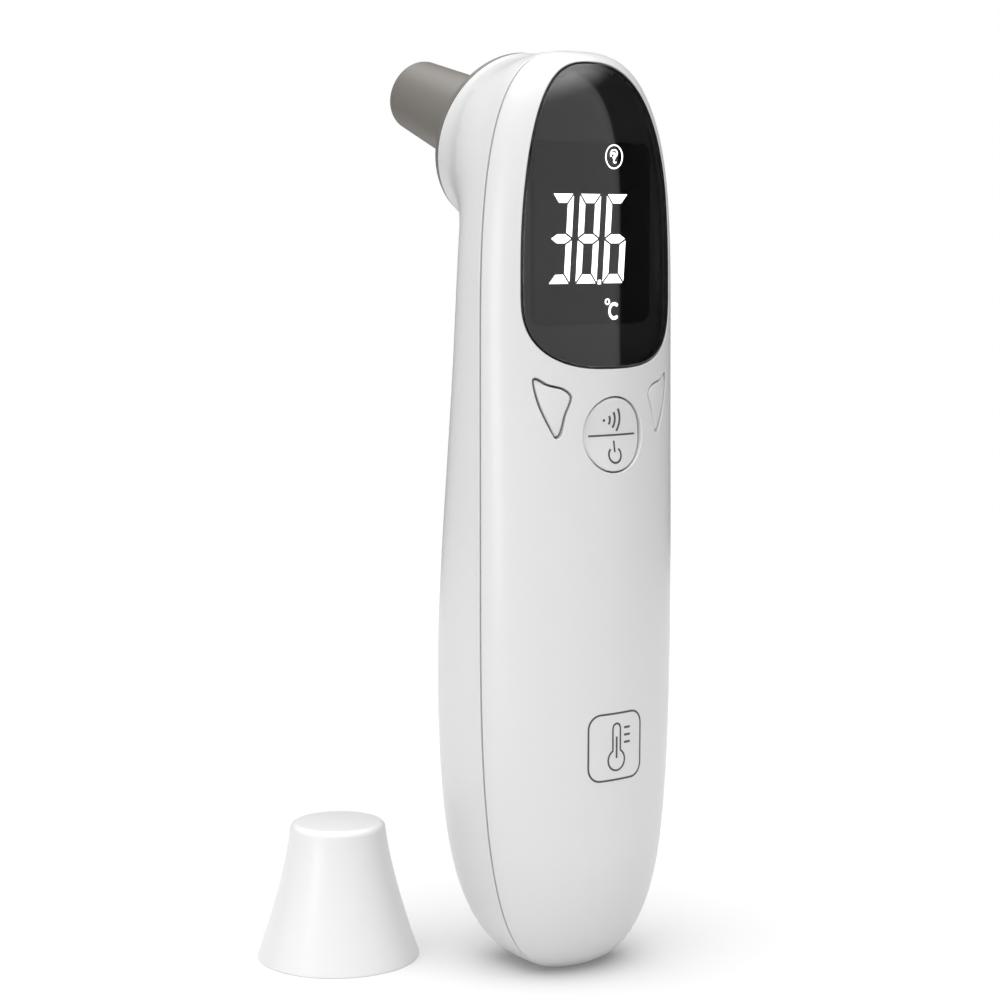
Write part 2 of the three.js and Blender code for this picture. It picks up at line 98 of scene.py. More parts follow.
def outside_body(points):
    """How far points lie outside the case's rounded sections; negative inside"""
    x, y, z = points.T
    height = np.clip(z, 1e-9, CASE_HEIGHT - 1e-9)
    depth = np.where(y < 0, depth_at(height, FRONT_SHAPE), depth_at(height, REAR_SHAPE))
    power = np.where(y < 0, FRONT_SHAPE["power"], REAR_SHAPE["power"])
    width = HALF_WIDTH * rounded_ends(height, *WIDTH_ENDS)
    share = ((np.abs(x) / width) ** power + (np.abs(y) / depth) ** power) ** (1 / power)
    share = np.maximum(share, 1e-6)
    beyond = np.maximum(-z, z - CASE_HEIGHT)
    off_axis = np.hypot(x, y)
    return np.where(beyond >= 0, off_axis + beyond, off_axis * (1 - 1 / share))


def outside_barrel(points):
    """The same for the slightly tapered round neck that carries the probe"""
    from_flange = points - flange_centre
    along = from_flange @ flange_axis
    across = np.linalg.norm(from_flange - along[:, None] * flange_axis, axis=1)
    return np.maximum(across - BARREL_RADIUS + BARREL_TAPER * along, along - BARREL_PAST_FLANGE)


def outside_case(points):
    """Case and barrel together, with a fillet between them that fades out at the seam"""
    body, barrel = outside_body(points), outside_barrel(points)
    fillet = np.clip(FILLET_GROWTH * points[:, 1], 1e-6, FILLET)
    near = np.maximum(fillet - np.abs(body - barrel), 0) / fillet
    joined = np.minimum(body, barrel) - near * near * fillet / 4
    return np.where(points[:, 1] <= 0, body, joined)


def found_surface(starts, directions, field, reach=60.0):
    """Where rays that start inside first leave a field's surface"""
    inside = np.zeros(len(starts))
    outside = np.full(len(starts), reach)
    for _ in range(44):
        middle = (inside + outside) / 2
        within = field(starts + directions * middle[:, None]) < 0
        inside, outside = np.where(within, middle, inside), np.where(within, outside, middle)
    return starts + directions * inside[:, None]


def normals_of(points, field):
    """The outward direction of a surface at points near it"""
    step = 1e-4
    slope = [field(points + step * axis) - field(points - step * axis) for axis in np.eye(3)]
    slope = np.array(slope).T
    return slope / np.linalg.norm(slope, axis=1)[:, None]


# A face of the case is worked on as a flat map. Rays fan out from a spine on the case's axis, and
# a map point's distance from the spine is the angle of its ray.
SPINE = (20, 130)
FAN = 25


def from_map(flat, side, field):
    """Map points carried onto a surface"""
    height = np.clip(flat[:, 1], *SPINE)
    offset = flat - np.column_stack([np.zeros(len(flat)), height])
    reach = np.maximum(np.hypot(*offset.T), 1e-9)
    angle = reach / FAN * math.pi / 2
    across = offset / reach[:, None] * np.sin(angle)[:, None]
    starts = np.column_stack([np.zeros((len(flat), 2)), height])
    rays = np.column_stack([across[:, 0], side * np.cos(angle), across[:, 1]])
    return found_surface(starts, rays, field)


def to_map(points, side):
    """Points of a surface laid flat on the map"""
    height = np.clip(points[:, 2], *SPINE)
    offset = np.column_stack([points[:, 0], points[:, 2] - height])
    reach = np.maximum(np.hypot(*offset.T), 1e-9)
    angle = np.arctan2(reach, side * points[:, 1])
    flat = offset / reach[:, None] * (angle * FAN * 2 / math.pi)[:, None]
    return flat + np.column_stack([np.zeros(len(points)), height])


def on_face(outline, side, field):
    """Points of a flat outline, seen from the front or the rear, carried onto a surface"""
    outline = np.asarray(outline, float)
    starts = np.column_stack([outline[:, 0], np.full(len(outline), side * 0.5), outline[:, 1]])
    rays = np.tile([0.0, side, 0.0], (len(outline), 1))
    return found_surface(starts, rays, field, 30.0)


def inside_loops(flat, loops):
    """Which map points lie inside an odd number of loops"""
    odd = np.zeros(len(flat), bool)
    for loop in loops:
        for (x0, z0), (x1, z1) in zip(loop, np.roll(loop, -1, axis=0)):
            if z0 == z1:
                continue
            crosses = (flat[:, 1] < z0) != (flat[:, 1] < z1)
            odd ^= crosses & (flat[:, 0] < x0 + (flat[:, 1] - z0) * (x1 - x0) / (z1 - z0))
    return odd


def evenly(points, spacing):
    """A closed line, redrawn with evenly spaced points"""
    closed = np.vstack([points, points[:1]])
    run = np.concatenate([[0], np.cumsum(np.linalg.norm(np.diff(closed, axis=0), axis=1))])
    stations = np.linspace(0, run[-1], max(8, round(run[-1] / spacing)) + 1)[:-1]
    return np.column_stack([np.interp(stations, run, column) for column in closed.T])


def new_piece(name, points, faces, material, body, corner_normals=None):
    """A mesh in the frame, riding on a body, with its material"""
    mesh = bpy.data.meshes.new(name)
    mesh.from_pydata([tuple(p) for p in placed(points)], [], faces)
    mesh.polygons.foreach_set("use_smooth", [True] * len(mesh.polygons))
    if corner_normals is None:
        mesh.set_sharp_from_angle(angle=math.radians(35))
    else:
        mesh.normals_split_custom_set(corner_normals)
    mesh.materials.append(material)
    piece = bpy.data.objects.new(name, mesh)
    bpy.context.scene.collection.objects.link(piece)
    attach(piece, body)
    return piece


def edge_rings(loops, side, field, edge):
    """For each line, its points drawn in by the edge's radius, their normals, and the way out. The
    first line is a panel's outer edge, and the others are holes."""
    rings = []
    for i, line in enumerate(loops):
        normal = normals_of(line, field)
        tangent = np.roll(line, -1, axis=0) - np.roll(line, 1, axis=0)
        away = np.cross(tangent, normal)
        away /= np.linalg.norm(away, axis=1)[:, None]
        outward = np.sum(away * (line - line.mean(0)))
        away *= np.sign(outward) * (1 if i == 0 else -1)
        start = from_map(to_map(line - away * edge, side), side, field)
        rings.append((start, normals_of(start, field), away))
    return rings


def lattice_between(flats, grid):
    """A triangular lattice of map points between flat lines, clear of the lines themselves"""
    low, high = flats[0].min(0), flats[0].max(0)
    rows = np.arange(low[1], high[1], grid * 0.87)
    lattice = np.array([(x + grid / 2 * (i % 2), z) for i, z in enumerate(rows)
                        for x in np.arange(low[0], high[0], grid)])
    border = np.vstack(flats)
    tree = kdtree.KDTree(len(border))
    for i, (x, z) in enumerate(border):
        tree.insert((x, z, 0), i)
    tree.balance()
    lattice = lattice[inside_loops(lattice, flats)]
    clear = [p for p in lattice if tree.find((p[0], p[1], 0))[2] > 0.55 * grid]
    return np.array(clear).reshape(-1, 2)


def net_between(flats, side, field, grid):
    """Triangles and points that cover a surface between lines, finer where the map stretches"""
    borders, count = [], 0
    for flat in flats:
        borders += [(count + k, count + (k + 1) % len(flat)) for k in range(len(flat))]
        count += len(flat)
    free = lattice_between(flats, grid)
    for _ in range(4):
        flat_points = np.vstack(flats + [free])
        made = delaunay_2d_cdt([Vector(p) for p in flat_points], borders, [], 0, 1e-7)
        flat_made = np.array([tuple(p) for p in made[0]])
        triangles = np.array(made[2])
        triangles = triangles[inside_loops(flat_made[triangles].mean(1), flats)]
        solid = from_map(flat_made, side, field)
        pairs = np.vstack([triangles[:, [0, 1]], triangles[:, [1, 2]], triangles[:, [2, 0]]])
        pairs = np.unique(np.sort(pairs, axis=1), axis=0)
        length = np.linalg.norm(solid[pairs[:, 0]] - solid[pairs[:, 1]], axis=1)
        stretched = pairs[(length > 1.7 * grid) & (pairs.max(1) >= count)]
        if not len(stretched):
            break
        free = np.vstack([free, flat_made[stretched].mean(1)])
    return triangles, solid


def panel(name, loops, side, material, body, field=outside_case, wall=WALL, edge=0.15,
          grid=1.1):
    """A moulded wall between closed lines on a surface, with every edge rolled over. The wall is a
    thickness, or a rule that carries points of the outside to the inside."""
    carried_in = wall if callable(wall) else lambda outside, normals: outside - normals * wall
    rings = edge_rings(loops, side, field, edge)
    triangles, solid = net_between([to_map(start, side) for start, _, _ in rings], side, field, grid)
    normal = normals_of(solid, field)
    size = len(solid)
    points = [solid, carried_in(solid, normal)]
    outer, inner = [normal, -normal], [normal, -normal]  # normals for seen and for hidden faces
    faces, hidden = [tuple(t) for t in triangles], [tuple(t + size) for t in triangles]
    count, first = 2 * size, 0
    for start, lift, away in rings:
        n = len(start)
        tracks = [np.arange(first, first + n)]
        for turn in (30, 60, 90):
            turn = math.radians(turn)
            points.append(start + away * edge * math.sin(turn) - lift * edge * (1 - math.cos(turn)))
            outer.append(away * math.sin(turn) + lift * math.cos(turn))
            inner.append(outer[-1])
            tracks.append(np.arange(count, count + n))
            count += n
        points.append(carried_in(start + away * edge, lift))
        outer.append(away)
        inner.append(-lift)
        tracks.append(np.arange(count, count + n))
        count += n
        for before, after in zip(tracks, tracks[1:]):
            faces += [(before[k], before[(k + 1) % n], after[(k + 1) % n], after[k])
                      for k in range(n)]
        low, base = tracks[-1], np.arange(first + size, first + size + n)
        hidden += [(low[k], low[(k + 1) % n], base[(k + 1) % n], base[k]) for k in range(n)]
        first += n
    points, outer, inner = np.vstack(points), np.vstack(outer), np.vstack(inner)

    def turned_out(face, table):
        a, b, c = (points[k] for k in face[:3])
        facing = np.cross(b - a, c - a) @ sum(table[k] for k in face)
        return face if facing >= 0 else face[::-1]

    faces = [turned_out(face, outer) for face in faces]
    hidden = [turned_out(face, inner) for face in hidden]
    corners = [tuple(outer[k]) for face in faces for k in face]
    corners += [tuple(inner[k]) for face in hidden for k in face]
    used = sorted({int(k) for face in faces + hidden for k in face})
    renamed = {k: i for i, k in enumerate(used)}
    faces = [[renamed[int(k)] for k in face] for face in faces + hidden]
    return new_piece(name, points[used], faces, material, body, corners)


def seam_line(y):
    """The skin's line in an upright plane, all the way round"""
    low, high = SPINE
    steps = np.arange(low, high, 0.9)
    fan = np.linspace(0, math.pi, 60)[:-1]
    heights = np.concatenate([steps, np.full(59, high), steps[::-1], np.full(59, low)])
    angles = np.concatenate([np.zeros(len(steps)), fan, np.full(len(steps), math.pi), fan + math.pi])
    starts = np.column_stack([np.zeros(len(heights)), np.full(len(heights), y), heights])
    rays = np.column_stack([np.cos(angles), np.zeros(len(angles)), np.sin(angles)])
    return evenly(found_surface(starts, rays, outside_case), 0.7)


def node(tree, kind, settings=(), **sockets):
    """A shader node with its settings and its socket values or links"""
    made = tree.nodes.new(kind)
    for key, value in dict(settings).items():
        setattr(made, key, value)
    for key, value in sockets.items():
        socket = made.inputs[key.replace("_", " ")]
        if isinstance(value, bpy.types.NodeSocket):
            tree.links.new(value, socket)
        else:
            socket.default_value = value
    return made


def moulded(name, colour, roughness, grain=0.00001, grain_scale=3500, metal=0.0, mottle=0.004):
    """A moulded or finished surface: faint mottling in its colour, uneven gloss and a fine grain"""
    material = bpy.data.materials.new(name)
    material.use_nodes = True
    tree = material.node_tree
    shader = tree.nodes["Principled BSDF"]
    place = tree.nodes.new("ShaderNodeTexCoord").outputs["Object"]
    cloud = node(tree, "ShaderNodeTexNoise", Vector=place, Scale=30.0, Detail=1.5)
    fine = node(tree, "ShaderNodeTexNoise", Vector=place, Scale=float(grain_scale), Detail=2.0)
    shade = tree.nodes.new("ShaderNodeMix")
    shade.data_type = "RGBA"
    shade.inputs["A"].default_value = (*[c * (1 - mottle) for c in colour], 1)
    shade.inputs["B"].default_value = (*[min(1, c * (1 + mottle)) for c in colour], 1)
    tree.links.new(cloud.outputs["Fac"], shade.inputs["Factor"])
    tree.links.new(shade.outputs["Result"], shader.inputs["Base Color"])
    gloss = node(tree, "ShaderNodeMapRange", Value=cloud.outputs["Fac"],
                 To_Min=roughness * 0.95, To_Max=roughness * 1.05)
    tree.links.new(gloss.outputs["Result"], shader.inputs["Roughness"])
    bump = node(tree, "ShaderNodeBump", Height=fine.outputs["Fac"], Strength=0.5, Distance=grain)
    tree.links.new(bump.outputs["Normal"], shader.inputs["Normal"])
    shader.inputs["Metallic"].default_value = metal
    return material


def window_line(grow=0.0):
    """Egg-shaped outline of the display window: a long round top and a fuller, shorter foot"""
    turns = np.linspace(0, 2 * math.pi, 240, endpoint=False)
    power = np.where(np.sin(turns) > 0, 2.6, 2.8)
    reach = np.where(np.sin(turns) > 0, 147.2 - 111, 111 - 99)
    x = 15.3 * np.sign(np.cos(turns)) * np.abs(np.cos(turns)) ** (2 / power)
    z = 111 + reach * np.sign(np.sin(turns)) * np.abs(np.sin(turns)) ** (2 / power)
    return grown(evenly(np.column_stack([x, z]), 0.5), grow)


def grown(outline, distance):
    """An anticlockwise outline moved outwards"""
    edge = np.roll(outline, -1, axis=0) - np.roll(outline, 1, axis=0)
    edge /= np.linalg.norm(edge, axis=1)[:, None]
    return outline + distance * np.column_stack([edge[:, 1], -edge[:, 0]])


def circle_line(x, z, radius, spacing=0.4):
    turns = np.linspace(0, 2 * math.pi, 200, endpoint=False)
    ring = np.column_stack([x + radius * np.cos(turns), z + radius * np.sin(turns)])
    return evenly(ring, spacing)


def smooth_loop(corners, steps=12):
    """A smooth closed curve through corner points"""
    p = np.asarray(corners, float)
    t = np.linspace(0, 1, steps, endpoint=False)[:, None]
    before, after, beyond = np.roll(p, 1, axis=0), np.roll(p, -1, axis=0), np.roll(p, -2, axis=0)
    line = []
    for a, b, c, d in zip(before, p, after, beyond):
        line.append(0.5 * (2 * b + (c - a) * t + (2 * a - 5 * b + 4 * c - d) * t ** 2
                           + (3 * b - a - 3 * c + d) * t ** 3))
    return np.vstack(line)


def key_line(side, grow=0.0):
    """Outline of a side key: three soft corners, hollowed along the window and the button"""
    corners = [(13.2, 97.9), (11.5, 96.9), (9.1, 96.2), (7.75, 94.7), (8.8, 91.9),
               (9.5, 89), (10.3, 88.3), (11, 88.9), (13, 93.3), (13.85, 97.2)]
    line = grown(evenly(smooth_loop(corners), 0.3), grow)
    return line if side > 0 else (line * (-1, 1))[::-1]


def shell_inside(outside, normals):
    """The wall runs straight back round the front's holes and square to the face at the seam"""
    square = 1 - eased(-normals[:, 1], 0.25, 0.55)[:, None]
    way = normals * square + np.array([0, -1, 0]) * (1 - square)
    return outside - WALL * way / np.linalg.norm(way, axis=1)[:, None]


white_shell = moulded("white_satin_abs", WHITE, 0.28)
button_centre, button_radius = (0, 88.6), 6.1
seam_half = GAP / 2 + 0.05  # half of the open line between the shells
front_lines = [seam_line(-seam_half)]
front_lines += [on_face(line, FRONT, outside_case) for line in
                (window_line(), circle_line(*button_centre, button_radius), key_line(-1), key_line(1))]
front_shell = panel("case_front", front_lines, FRONT, white_shell, "body",
                    wall=shell_inside)
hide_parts("front_shell")

# ---------------------------------------------------------------------------------------------
# Case, rear half
# The rear shell is a second moulding in the same white ABS. It is the back of the grip, and its
# head grows into the round barrel that takes the probe.
# ---------------------------------------------------------------------------------------------

DOOR_SIDE, DOOR_LOW, DOOR_HIGH, DOOR_CORNER = 12, 17.5, 75.5, 4
SCREWS = [(-8, 80), (8, 80)]
WELL_RADIUS = 2.4


def door_line(grow=0.0):
    corners = [(DOOR_SIDE, DOOR_HIGH, 0), (-DOOR_SIDE, DOOR_HIGH, 90),
               (-DOOR_SIDE, DOOR_LOW, 180), (DOOR_SIDE, DOOR_LOW, 270)]
    line = []
    for x, z, turn in corners:
        turns = np.radians(np.linspace(turn, turn + 90, 16))
        inward = DOOR_CORNER * np.array([-np.sign(x), 1 if z == DOOR_LOW else -1])
        line.append(np.array([x, z]) + inward
                    + DOOR_CORNER * np.column_stack([np.cos(turns), np.sin(turns)]))
    return grown(evenly(np.vstack(line), 0.6), grow)


turns = np.linspace(0, 2 * math.pi, 150, endpoint=False)
flange_up = np.array([0, -math.sin(flange_tilt), math.cos(flange_tilt)])
flange_rays = np.outer(np.cos(turns), [1, 0, 0]) + np.outer(np.sin(turns), flange_up)
flange_line = found_surface(np.tile(flange_centre, (len(turns), 1)), flange_rays, outside_case)
rear_lines = [seam_line(seam_half), on_face(door_line(), REAR, outside_case), flange_line]
rear_lines += [on_face(circle_line(x, z, WELL_RADIUS, 0.3), REAR, outside_case) for x, z in SCREWS]
rear_shell = panel("case_rear", rear_lines, REAR, white_shell, "body")
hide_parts("rear_shell")

# ---------------------------------------------------------------------------------------------
# Case screws
# Two pan-head steel screws, each with a small socket for the driver, sit deep in the rear shell's
# posts and pull the two shells together. A post is a round well with a floor for the head.
# ---------------------------------------------------------------------------------------------

SCREW_SEAT = 13
POST_RADIUS, BORE_RADIUS = 3.2, 1.4
HEAD_RADIUS, SHANK_RADIUS, SOCKET_RADIUS = 2.1, 1.1, 0.55
HEAD_SEAT, HEAD_TOP, SCREW_TIP = SCREW_SEAT + GAP, 14.8, -6


def lathe(name, profile, centre, axis, material, body, sides=72):
    """A profile of (radius, distance along the axis) turned about an axis"""
    axis = np.asarray(axis, float)
    side = np.cross(axis, [0, 0, 1.0]) if abs(axis[2]) < 0.9 else np.array([1.0, 0, 0])
    side /= np.linalg.norm(side)
    other = np.cross(axis, side)
    closed = np.allclose(profile[0], profile[-1])
    profile = profile[:-1] if closed else profile
    points, tracks = [], []
    for radius, along in profile:
        if radius < 1e-6:
            tracks.append([len(points)] * sides)
            points.append(centre + axis * along)
            continue
        tracks.append(list(range(len(points), len(points) + sides)))
        points += [centre + axis * along + radius * (side * math.cos(2 * math.pi * k / sides)
                   + other * math.sin(2 * math.pi * k / sides)) for k in range(sides)]
    faces = []
    ends = zip(tracks, tracks[1:] + tracks[:1]) if closed else zip(tracks, tracks[1:])
    for low, high in ends:
        for k in range(sides):
            ring = [low[k], low[(k + 1) % sides], high[(k + 1) % sides], high[k]]
            ring = list(dict.fromkeys(ring))
            if len(ring) > 2:
                faces.append(ring)
    return new_piece(name, np.array(points), faces, material, body)


def softened(corners, radius, steps=5):
    """A profile with its inner corners rounded off"""
    line = [corners[0]]
    for before, corner, after in zip(corners, corners[1:], corners[2:]):
        before, corner, after = (np.array(p, float) for p in (before, corner, after))
        reach_in, reach_out = np.linalg.norm(before - corner), np.linalg.norm(after - corner)
        start = corner + (before - corner) * min(radius / reach_in, 0.45)
        end = corner + (after - corner) * min(radius / reach_out, 0.45)
        for t in np.linspace(0, 1, steps):
            line.append(tuple((1 - t) ** 2 * start + 2 * t * (1 - t) * corner + t * t * end))
    return line + [corners[-1]]


steel = moulded("bright_steel", (0.62, 0.63, 0.65), 0.28, grain=0.000006, metal=1.0, mottle=0.05)
dark_steel = moulded("screw_steel", (0.42, 0.42, 0.43), 0.34, grain=0.000008, metal=1.0, mottle=0.08)
post_plastic = moulded("white_screw_post", WHITE, 0.34)
for side, (x, z) in zip(("left", "right"), SCREWS):
    top = min(19, on_face(np.array([(x, z)]), REAR, outside_case)[0][1] - 1.2)
    well = [(POST_RADIUS, top), (WELL_RADIUS, top), (WELL_RADIUS, SCREW_SEAT), (BORE_RADIUS, SCREW_SEAT),
            (BORE_RADIUS, GAP), (POST_RADIUS, GAP), (POST_RADIUS, top)]
    lathe(f"screw_post_{side}", well, np.array([x, 0, z]), (0, 1, 0), post_plastic, "body",
          40)
    socket = [(SOCKET_RADIUS, 14.75), (0.5, 14.3), (0, 14.2)]
    shape = [(0, SCREW_TIP), (0.6, SCREW_TIP), (SHANK_RADIUS, SCREW_TIP + 1), (SHANK_RADIUS, HEAD_SEAT),
             (HEAD_RADIUS, HEAD_SEAT)]
    shape += softened([(HEAD_RADIUS, HEAD_SEAT), (HEAD_RADIUS, 14.4), (1.4, HEAD_TOP),
                       (SOCKET_RADIUS, 14.75)], 0.3) + socket
    screw = lathe(f"screw_{side}", shape, np.array([x, 0, z]), (0, 1, 0), dark_steel, "body", 40)
    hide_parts(f"case_screw_{side}")

# ---------------------------------------------------------------------------------------------
# Battery door
# The door is a white ABS panel in the back of the grip, flush with it. It hooks in at the foot
# and snaps shut at the top, where moulded ribs give the thumb a hold.
# ---------------------------------------------------------------------------------------------

door = panel("door_panel", [on_face(door_line(-GAP), REAR, outside_case)], REAR, white_shell,
             "battery_door")
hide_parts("battery_door")


def box_piece(name, low, high, material, body, bevel=0.2):
    """A small moulded block with rounded edges"""
    low, high = np.array(low, float), np.array(high, float)
    corner = [[(low, high)[b][axis] for axis, b in enumerate(bits)] for bits in
              [(0, 0, 0), (1, 0, 0), (1, 1, 0), (0, 1, 0), (0, 0, 1), (1, 0, 1), (1, 1, 1), (0, 1, 1)]]
    faces = [(0, 3, 2, 1), (4, 5, 6, 7), (0, 1, 5, 4), (1, 2, 6, 5), (2, 3, 7, 6), (3, 0, 4, 7)]
    piece = new_piece(name, np.array(corner), faces, material, body)
    rounding = piece.modifiers.new("rounding", "BEVEL")
    rounding.width, rounding.segments, rounding.limit_method = bevel * 0.001, 3, "NONE"
    return piece


for side in (-1, 1):
    box_piece(f"door_hook_{'left' if side < 0 else 'right'}", (side * 5 - 1.5, 14.2, 15.7),
              (side * 5 + 1.5, 15.1, 20.4), white_shell, "battery_door")
    box_piece(f"door_hook_root_{'left' if side < 0 else 'right'}", (side * 5 - 1.5, 14.4, 18.2),
              (side * 5 + 1.5, 17.5, 20.2), white_shell, "battery_door")


def ink(name, strokes, width, side, field, material, body, closed=False, lift=0.02):
    """Thin strokes laid on a surface: printed ink, or a moulded rib where the lift is larger"""
    points, faces = [], []
    for stroke in strokes:
        line = np.asarray(stroke, float)
        if closed:
            line = evenly(line, 0.25)
            run = np.roll(line, -1, axis=0) - np.roll(line, 1, axis=0)
        else:
            length = np.concatenate([[0], np.cumsum(np.linalg.norm(np.diff(line, axis=0), axis=1))])
            stations = np.linspace(0, length[-1], max(2, round(length[-1] / 0.25)) + 1)
            line = np.column_stack([np.interp(stations, length, column) for column in line.T])
            run = np.gradient(line, axis=0)
        run /= np.linalg.norm(run, axis=1)[:, None]
        over = np.column_stack([run[:, 1], -run[:, 0]]) * width / 2
        base = len(points)
        for edge_line in (line + over, line - over):
            surface = on_face(edge_line, side, field)
            lifted = normals_of(surface, field)
            points += list(surface + lifted * lift) + list(surface - lifted * 0.05)
        n = len(line)
        right_top, right_low, left_top, left_low = (base + k * n for k in range(4))
        for k in range(n if closed else n - 1):
            j = (k + 1) % n
            for a, b in ((right_top, left_top), (left_top, left_low), (left_low, right_low),
                         (right_low, right_top)):
                faces.append((a + k, a + j, b + j, b + k))
        if not closed:
            for k, flip in ((0, 1), (n - 1, -1)):
                faces.append((right_top + k, left_top + k, left_low + k, right_low + k)[::flip])
    if side == FRONT:
        faces = [face[::-1] for face in faces]
    return new_piece(name, np.array(points), faces, material, body)


grip_ribs = [[(x, z) for x in (-4.5, 4.5)] for z in (63, 65, 67, 69, 71)]
ink("door_grip_ribs", grip_ribs, 0.7, REAR, outside_case, white_shell, "battery_door",
    lift=0.3)

# ---------------------------------------------------------------------------------------------
# Display window
# The window is a smoked acrylic moulding, polished on both faces, inked black round its side and
# set flush in the front shell. Behind it a black mask frames the light module.
# ---------------------------------------------------------------------------------------------

SMOKE = (0.30, 0.30, 0.31, 1)
LENS = 1.6

smoked_acrylic = moulded("smoked_acrylic", (0.3, 0.3, 0.3), 0.03, grain=0.0000003, grain_scale=300)
smoke_shader = smoked_acrylic.node_tree.nodes["Principled BSDF"]
for link in list(smoke_shader.inputs["Base Color"].links):
    smoked_acrylic.node_tree.links.remove(link)
smoke_shader.inputs["Base Color"].default_value = SMOKE
smoke_shader.inputs["Transmission Weight"].default_value = 1.0
smoke_shader.inputs["IOR"].default_value = 1.55
lens = panel("window_lens", [on_face(window_line(-GAP), FRONT, outside_case)], FRONT, smoked_acrylic,
             "body", wall=LENS, edge=0.2)
lens.data.materials.append(moulded("lens_edge_ink", (0.012, 0.012, 0.013), 0.5))
centres = np.array([polygon.center for polygon in lens.data.polygons]) * 1000 - (0, 0, foot * 1000)
depths = -outside_case(centres)
on_side_wall = (depths > 0.25) & (depths < LENS - 0.1)
lens.data.polygons.foreach_set("material_index", [int(side_wall) for side_wall in on_side_wall])
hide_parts("display_lens")

MODULE_SIDE, MODULE_LOW, MODULE_HIGH, MODULE_FACE = 11.6, 106.2, 134.2, -4.2


def round_rectangle(low, high, radius):
    line = []
    for x, z, turn in ((high[0], high[1], 0), (low[0], high[1], 90), (low[0], low[1], 180),
                       (high[0], low[1], 270)):
        turns = np.radians(np.linspace(turn, turn + 90, 8))
        inward = radius * np.array([1 if x == low[0] else -1, 1 if z == low[1] else -1])
        line.append(np.array([x, z]) + inward + radius * np.column_stack([np.cos(turns), np.sin(turns)]))
    return np.vstack(line)


def outside_mask(points):
    """The mask lies flat round the light module, and follows the lens near its edge"""
    return np.maximum(outside_case(points) + LENS + 0.5, -points[:, 1] + MODULE_FACE + 0.5)


mask_black = moulded("mask_black", (0.17, 0.17, 0.175), 0.5, grain=0.000001, mottle=0.03)
hole = round_rectangle((-MODULE_SIDE - GAP, MODULE_LOW - GAP), (MODULE_SIDE + GAP, MODULE_HIGH + GAP), 1.8)
mask = panel("light_mask_black", [on_face(window_line(0.8), FRONT, outside_mask),
                                  on_face(evenly(hole, 0.6), FRONT, outside_mask)],
             FRONT, mask_black, "body", field=outside_mask, wall=0.7, edge=0.1,
             grid=1.6)
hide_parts("light_mask")


def plate(name, outlines, y0, y1, material, body):
    """Flat pieces with upright sides, cut from outlines seen from the front"""
    points, faces = [], []
    for outline in outlines:
        n, base = len(outline), len(points)
        points += [(x, y1, z) for x, z in outline] + [(x, y0, z) for x, z in outline]
        faces += [tuple(range(base + n, base + 2 * n)), tuple(range(base, base + n))[::-1]]
        faces += [(base + k, base + (k + 1) % n, base + n + (k + 1) % n, base + n + k) for k in range(n)]
    return new_piece(name, np.array(points), faces, material, body)


module_black = moulded("module_black", (0.006, 0.006, 0.007), 0.35, mottle=0.15)
module_outline = round_rectangle((-MODULE_SIDE, MODULE_LOW), (MODULE_SIDE, MODULE_HIGH), 1.6)
module = plate("light_module", [module_outline], MODULE_FACE, -1.9, module_black, "body")
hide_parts("display_module")

# ---------------------------------------------------------------------------------------------
# Lit figures
# The module lights a reading in three slanted seven-segment digits, a degree sign and unit, and
# a small ear sign for the ear mode. Each segment is a window in the black face, lit from behind.
# ---------------------------------------------------------------------------------------------

DIGIT_WIDTH, DIGIT_HEIGHT, DIGIT_PITCH, DIGIT_FOOT, DIGIT_START = 4.5, 14.4, 5.45, 112.2, -9.1
SLANT = 0.065
UPRIGHT, LEVEL, CUT = 1.4, 1.75, 0.17
READING = ("abgcd", "abcdefg", "afgedc")

lit_white = moulded("lit_white", (0.9, 0.9, 0.9), 0.5, mottle=0.01)
lit_shader = lit_white.node_tree.nodes["Principled BSDF"]
lit_shader.inputs["Emission Color"].default_value = (1, 1, 1, 1)
lit_shader.inputs["Emission Strength"].default_value = 9.0
W, H, U, L = DIGIT_WIDTH, DIGIT_HEIGHT, UPRIGHT, LEVEL
SEGMENTS = {
    "a": [(0, H), (U, H - L), (W - U, H - L), (W, H)],
    "d": [(0, 0), (W, 0), (W - U, L), (U, L)],
    "f": [(0, H), (0, H / 2), (U, H / 2 + L / 2), (U, H - L)],
    "b": [(W, H), (W - U, H - L), (W - U, H / 2 + L / 2), (W, H / 2)],
    "e": [(0, 0), (U, L), (U, H / 2 - L / 2), (0, H / 2)],
    "c": [(W, 0), (W, H / 2), (W - U, H / 2 - L / 2), (W - U, L)],
    "g": [(0, H / 2), (U, H / 2 - L / 2), (W - U, H / 2 - L / 2), (W, H / 2),
          (W - U, H / 2 + L / 2), (U, H / 2 + L / 2)],
}


def drawn_in(outline, distance):
    """A convex outline with every side moved inwards"""
    outline = np.asarray(outline, float)
    middle = outline.mean(0)
    made = []
    for before, corner, after in zip(np.roll(outline, 1, axis=0), outline, np.roll(outline, -1, axis=0)):
        lines = []
        for start, end in ((before, corner), (corner, after)):
            normal = np.array([end[1] - start[1], start[0] - end[0]])
            normal /= np.linalg.norm(normal)
            normal *= np.sign(normal @ (start - middle))
            lines.append((normal, normal @ start - distance))
        made.append(np.linalg.solve([lines[0][0], lines[1][0]], [lines[0][1], lines[1][1]]))
    return np.array(made)


def band(centre, radii, start, end, width, steps=28, tall=1.0):
    """A stretch of a ring, as one outline"""
    turns = np.radians(np.linspace(start, end, steps))
    outer = np.column_stack([np.cos(turns), np.sin(turns) * tall]) * (radii + width / 2)
    inner = np.column_stack([np.cos(turns), np.sin(turns) * tall]) * (radii - width / 2)
    return np.vstack([outer, inner[::-1]]) + centre


